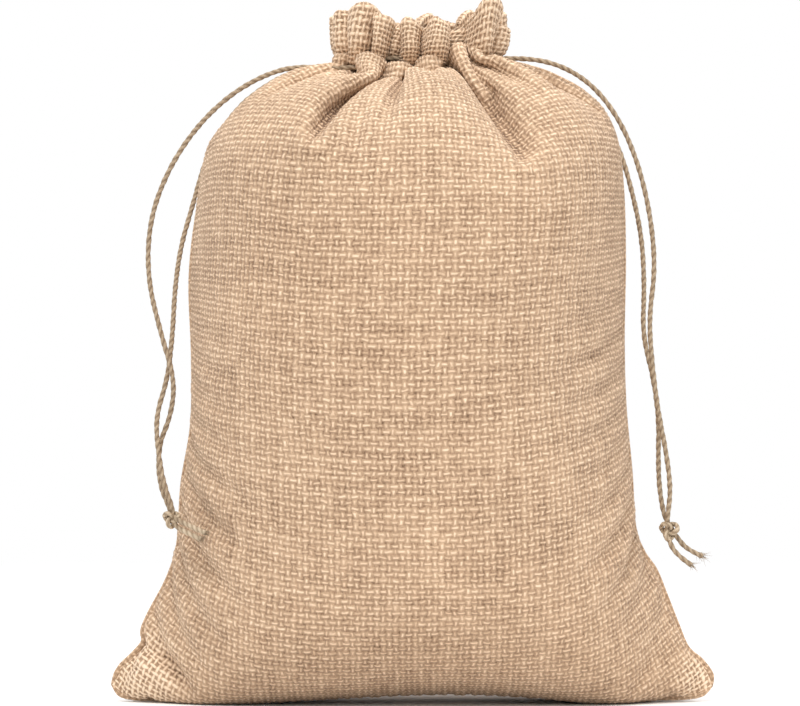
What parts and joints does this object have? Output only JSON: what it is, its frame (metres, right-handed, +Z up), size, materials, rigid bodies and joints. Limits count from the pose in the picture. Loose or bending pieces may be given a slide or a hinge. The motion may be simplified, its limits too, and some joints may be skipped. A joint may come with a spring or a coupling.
{
  "type": "drawstring pouch",
  "caption": "Filled, plain-woven jute pouch with corner ears, gathered at the neck by a drawstring from each side, each tied off in a knot.",
  "frame": {"origin": "on the ground under the middle of the pouch: the bottom centre of its box, without the free strings", "axes": "+X towards the ear on the viewer's right, -Y out of the front panel, +Z up"},
  "size_m": [0.199, 0.124, 0.232],
  "materials": {
    "jute_cloth": "plain-woven natural jute, matt and fibrous",
    "jute_twine": "two-ply jute twine, matt and hairy",
    "thread": "spun sewing thread"
  },
  "bodies": {
    "root": {"front_panel": "jute_cloth", "back_panel": "jute_cloth", "front_casing": "jute_cloth", "back_casing": "jute_cloth", "left_side_seam": "jute_cloth", "right_side_seam": "jute_cloth", "bottom_seam": "jute_cloth", "front_casing_stitching": "thread", "back_casing_stitching": "thread", "left_string_in_casing": "jute_twine", "right_string_in_casing": "jute_twine"},
    "front_frill": {"front_frill": "jute_cloth"},
    "back_frill": {"back_frill": "jute_cloth"},
    "left_string": {"left_front_leg": "jute_twine", "left_back_leg": "jute_twine", "left_knot": "jute_twine", "left_front_tail": "jute_twine", "left_back_tail": "jute_twine"},
    "right_string": {"right_front_leg": "jute_twine", "right_back_leg": "jute_twine", "right_knot": "jute_twine", "right_front_tail": "jute_twine", "right_back_tail": "jute_twine"}
  },
  "joints": [
    {"name": "front_frill_flare", "type": "hinge", "parent": "root", "child": "front_frill", "pos_m": [0, -0.0141, 0.2148], "axis": [1, 0, 0], "range_deg": [0, 25]},
    {"name": "back_frill_flare", "type": "hinge", "parent": "root", "child": "back_frill", "pos_m": [0, 0.0141, 0.2148], "axis": [-1, 0, 0], "range_deg": [0, 25]},
    {"name": "left_string_swing", "type": "hinge", "parent": "root", "child": "left_string", "pos_m": [-0.0297, 0, 0.2093], "axis": [0, 1, 0], "range_deg": [0, 70]},
    {"name": "right_string_swing", "type": "hinge", "parent": "root", "child": "right_string", "pos_m": [0.0297, 0, 0.2124], "axis": [0, -1, 0], "range_deg": [0, 70]}
  ]
}
